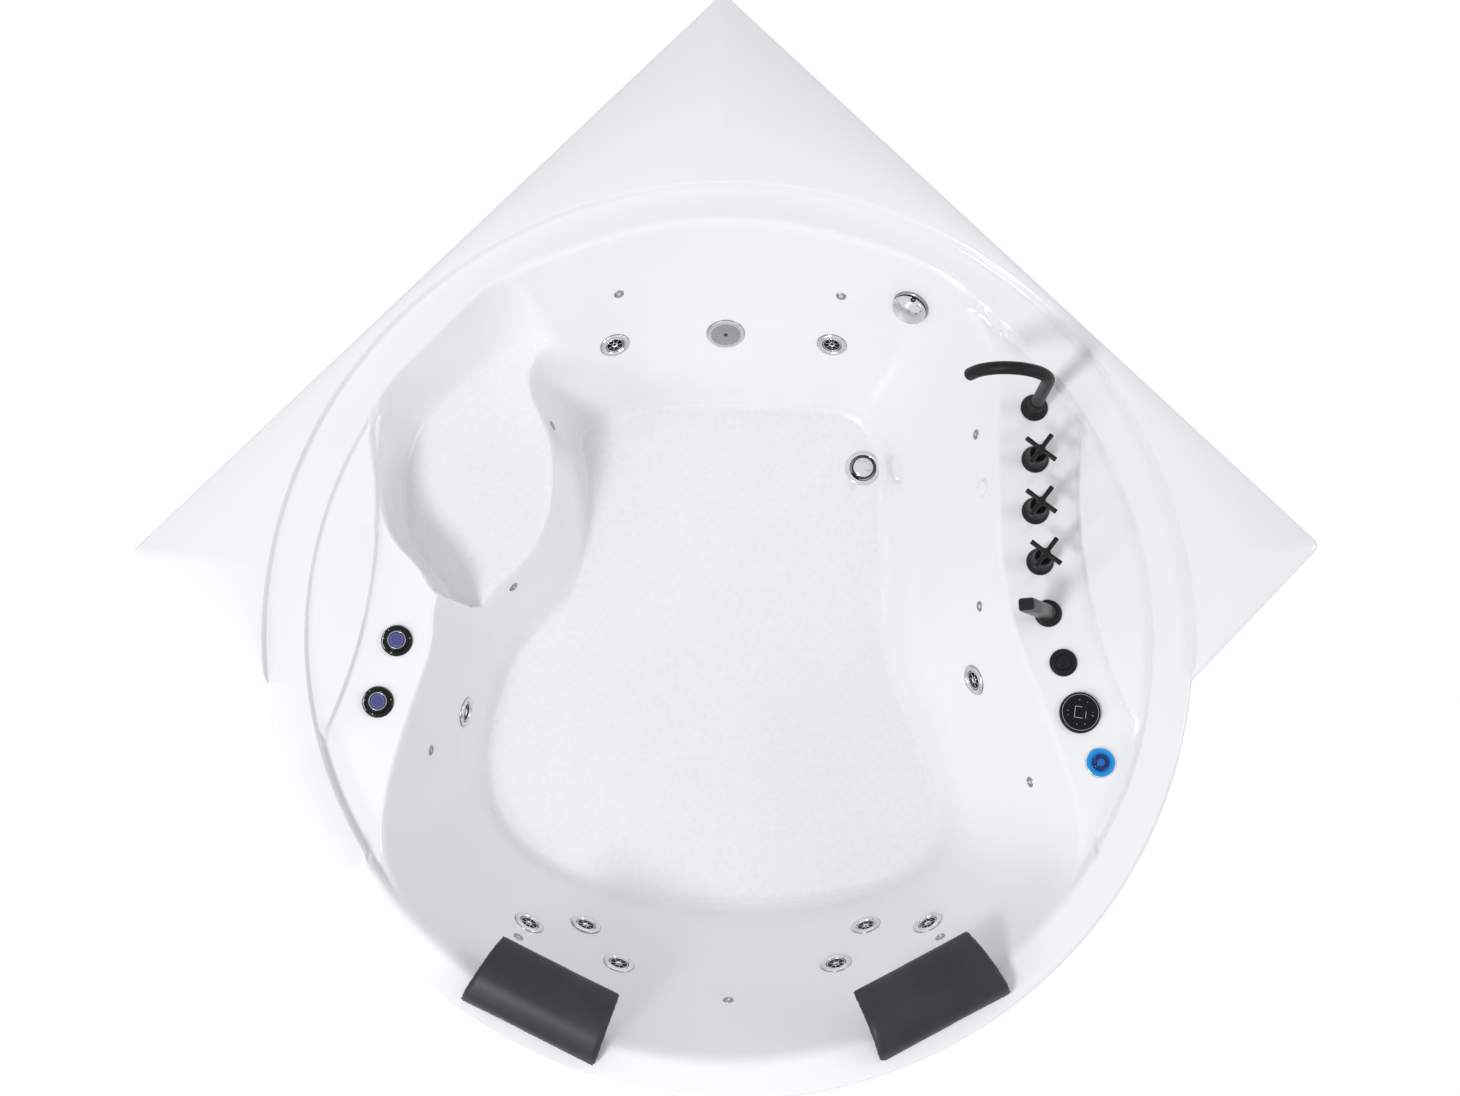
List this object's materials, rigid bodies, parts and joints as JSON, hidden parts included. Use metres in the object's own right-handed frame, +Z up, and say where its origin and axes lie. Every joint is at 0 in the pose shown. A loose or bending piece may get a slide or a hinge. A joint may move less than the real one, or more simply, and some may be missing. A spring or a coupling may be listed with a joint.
{
  "type": "corner jetted bathtub",
  "caption": "Corner jetted bathtub with round rim, reclining places, raised seat, jets, deck taps, hand shower, head rests, skirt, frame, pump and waste.",
  "frame": {"origin": "on the floor, under the middle of the plan's bounding box", "axes": "+X to the right along the rounded front, +Y towards the corner of the room, +Z up"},
  "size_m": [2.1096, 2.019, 0.8325],
  "materials": {
    "acrylic": "gloss white cast acrylic",
    "zinc": "zinc plated",
    "lamp_blue": "translucent, lit",
    "frame_paint": "grey epoxy",
    "pad_rubber": "matt",
    "chrome": "polished",
    "white_plastic": "moulded",
    "grey_plastic": "moulded",
    "pipe_plastic": "smooth pipe",
    "pipe_grey": "smooth pipe",
    "frosted": "frosted lens",
    "black_metal": "matt black",
    "stick_grey": "satin dark grey",
    "black_plastic": "satin",
    "black_glass": "gloss glass face",
    "lamp_violet": "translucent, lit",
    "black_leather": "smooth soft foam skin",
    "motor_paint": "dark blue",
    "box_plastic": "moulded"
  },
  "bodies": {
    "bath": {"tub_shell": "acrylic", "skirt": "acrylic", "skirt_clips": "zinc", "side_light": "lamp_blue", "support_frame": "frame_paint", "leg_studs": "zinc", "foot_pads": "pad_rubber", "drain_flange": "chrome", "drain_body": "white_plastic", "trap": "white_plastic", "overflow_ring": "chrome", "overflow_body": "white_plastic", "overflow_pipe": "white_plastic", "jet_rings": "chrome", "jet_bodies": "white_plastic", "mini_jets": "chrome", "suction_rim": "chrome", "suction_cover": "grey_plastic", "suction_body": "white_plastic", "suction_pipe": "pipe_plastic", "light_housing": "white_plastic", "light_lens": "frosted", "spout_base": "black_metal", "shower_holder": "black_metal", "valve_bodies": "black_metal", "air_button_bezel": "black_plastic", "lamp_button_bezel": "chrome", "panel_housing": "black_plastic", "panel_glass": "black_glass", "air_knob_bezels": "black_plastic", "head_rest_left": "black_leather", "head_rest_right": "black_leather", "rest_brackets": "black_metal", "pump_motor": "motor_paint", "pump_wet_end": "black_plastic", "water_pipes": "pipe_plastic", "air_pipes": "pipe_grey", "air_blower": "black_plastic", "control_box": "box_plastic"},
    "drain_plug": {"drain_plug": "chrome"},
    "overflow_knob": {"overflow_knob": "chrome"},
    "spout": {"spout": "black_metal"},
    "hand_shower": {"hand_shower": "stick_grey"},
    "air_button": {"air_button": "black_plastic"},
    "lamp_button": {"lamp_button": "lamp_blue"},
    "air_knob_front": {"air_knob_front": "lamp_violet"},
    "air_knob_rear": {"air_knob_rear": "lamp_violet"},
    "handle_cold": {"handle_cold": "black_metal"},
    "handle_diverter": {"handle_diverter": "black_metal"},
    "handle_hot": {"handle_hot": "black_metal"},
    "jet_nozzle_back_left": {"jet_nozzle_back_left": "chrome"},
    "jet_nozzle_back_right": {"jet_nozzle_back_right": "chrome"},
    "jet_nozzle_side_left": {"jet_nozzle_side_left": "chrome"},
    "jet_nozzle_side_right": {"jet_nozzle_side_right": "chrome"},
    "jet_nozzle_rest_left_outer": {"jet_nozzle_rest_left_outer": "chrome"},
    "jet_nozzle_rest_left_inner": {"jet_nozzle_rest_left_inner": "chrome"},
    "jet_nozzle_rest_left_upper": {"jet_nozzle_rest_left_upper": "chrome"},
    "jet_nozzle_rest_right_upper": {"jet_nozzle_rest_right_upper": "chrome"},
    "jet_nozzle_rest_right_inner": {"jet_nozzle_rest_right_inner": "chrome"},
    "jet_nozzle_rest_right_outer": {"jet_nozzle_rest_right_outer": "chrome"}
  },
  "joints": [
    {"name": "overflow_knob_turn", "type": "hinge", "parent": "bath", "child": "overflow_knob", "pos_m": [0.3477, 0.4427, 0.49975], "axis": [-0.4196, -0.8099, 0.4098], "range_deg": [0, 90]},
    {"name": "drain_plug_lift", "type": "slide", "parent": "bath", "child": "drain_plug", "axis": [0, 0, 1], "range_m": [0, 0.01]},
    {"name": "spout_swivel", "type": "hinge", "parent": "bath", "child": "spout", "pos_m": [0.559, 0.2234, 0.574], "axis": [0, 0, 1], "range_deg": [-60, 60]},
    {"name": "handle_cold_turn", "type": "hinge", "parent": "bath", "child": "handle_cold", "pos_m": [0.557, 0.1264, 0.574], "axis": [0, 0, 1], "range_deg": [0, 90]},
    {"name": "handle_diverter_turn", "type": "hinge", "parent": "bath", "child": "handle_diverter", "pos_m": [0.554, 0.0304, 0.574], "axis": [0, 0, 1], "range_deg": [-45, 45]},
    {"name": "handle_hot_turn", "type": "hinge", "parent": "bath", "child": "handle_hot", "pos_m": [0.559, -0.0636, 0.574], "axis": [0, 0, 1], "range_deg": [0, 90]},
    {"name": "hand_shower_lift", "type": "slide", "parent": "bath", "child": "hand_shower", "axis": [-0.4006, -0.0706, 0.9135], "range_m": [0, 0.15]},
    {"name": "air_button_press", "type": "slide", "parent": "bath", "child": "air_button", "axis": [0, 0, -1], "range_m": [0, 0.003], "stiffness_N_per_m": 400, "springref_m": -0.001},
    {"name": "lamp_button_press", "type": "slide", "parent": "bath", "child": "lamp_button", "axis": [0, 0, -1], "range_m": [0, 0.003], "stiffness_N_per_m": 400, "springref_m": -0.001},
    {"name": "air_knob_front_turn", "type": "hinge", "parent": "bath", "child": "air_knob_front", "pos_m": [-0.626, -0.3106, 0.574], "axis": [0, 0, 1], "range_deg": [-135, 135]},
    {"name": "air_knob_rear_turn", "type": "hinge", "parent": "bath", "child": "air_knob_rear", "pos_m": [-0.594, -0.2006, 0.574], "axis": [0, 0, 1], "range_deg": [-135, 135]},
    {"name": "jet_back_left_turn", "type": "hinge", "parent": "bath", "child": "jet_nozzle_back_left", "pos_m": [-0.20536, 0.41186, 0.35073], "axis": [0.2652, -0.854, 0.4476], "range_deg": [-90, 90]},
    {"name": "jet_back_right_turn", "type": "hinge", "parent": "bath", "child": "jet_nozzle_back_right", "pos_m": [0.20924, 0.41315, 0.34475], "axis": [-0.169, -0.889, 0.4256], "range_deg": [-90, 90]},
    {"name": "jet_side_left_turn", "type": "hinge", "parent": "bath", "child": "jet_nozzle_side_left", "pos_m": [-0.48648, -0.28686, 0.31185], "axis": [0.9438, -0.225, 0.2423], "range_deg": [-90, 90]},
    {"name": "jet_side_right_turn", "type": "hinge", "parent": "bath", "child": "jet_nozzle_side_right", "pos_m": [0.4534, -0.25047, 0.40977], "axis": [-0.8598, -0.3379, 0.3828], "range_deg": [-90, 90]},
    {"name": "jet_rest_left_outer_turn", "type": "hinge", "parent": "bath", "child": "jet_nozzle_rest_left_outer", "pos_m": [-0.36544, -0.68581, 0.38568], "axis": [0.4371, 0.722, 0.5363], "range_deg": [-90, 90]},
    {"name": "jet_rest_left_inner_turn", "type": "hinge", "parent": "bath", "child": "jet_nozzle_rest_left_inner", "pos_m": [-0.26421, -0.68374, 0.31368], "axis": [0.3075, 0.7872, 0.5346], "range_deg": [-90, 90]},
    {"name": "jet_rest_left_upper_turn", "type": "hinge", "parent": "bath", "child": "jet_nozzle_rest_left_upper", "pos_m": [-0.20386, -0.76037, 0.39065], "axis": [0.2312, 0.7823, 0.5784], "range_deg": [-90, 90]},
    {"name": "jet_rest_right_upper_turn", "type": "hinge", "parent": "bath", "child": "jet_nozzle_rest_right_upper", "pos_m": [0.18946, -0.76441, 0.38166], "axis": [-0.1871, 0.8035, 0.5652], "range_deg": [-90, 90]},
    {"name": "jet_rest_right_inner_turn", "type": "hinge", "parent": "bath", "child": "jet_nozzle_rest_right_inner", "pos_m": [0.2524, -0.68881, 0.29369], "axis": [-0.2573, 0.8203, 0.5108], "range_deg": [-90, 90]},
    {"name": "jet_rest_right_outer_turn", "type": "hinge", "parent": "bath", "child": "jet_nozzle_rest_right_outer", "pos_m": [0.35938, -0.69226, 0.3717], "axis": [-0.4276, 0.7483, 0.5072], "range_deg": [-90, 90]}
  ],
  "couplings": [
    {"joint": "drain_plug_lift", "follows": "overflow_knob_turn", "m_per_rad": 0.0063662}
  ]
}
